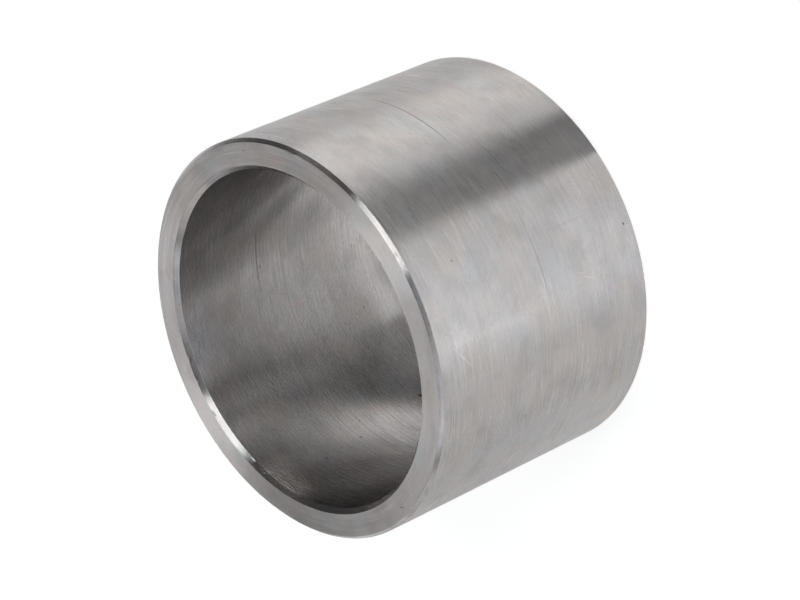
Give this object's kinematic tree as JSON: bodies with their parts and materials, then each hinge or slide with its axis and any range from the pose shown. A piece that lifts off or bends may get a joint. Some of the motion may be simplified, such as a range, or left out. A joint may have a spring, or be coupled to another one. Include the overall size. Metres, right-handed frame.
{
  "type": "spacer sleeve",
  "caption": "Straight steel spacer sleeve: a round turned tube with a smooth through bore, flat square end faces and a small 45 degree chamfer on every edge.",
  "frame": {"origin": "centre of the lower end face, on the sleeve's axis", "axes": "+Z along the bore axis, up from the end face it stands on; X and Y lie in that face, and the sleeve is round about Z"},
  "size_m": [0.065, 0.065, 0.045],
  "materials": {
    "steel": "fine turned, with light handling marks"
  },
  "bodies": {
    "root": {"sleeve": "steel"}
  },
  "joints": []
}
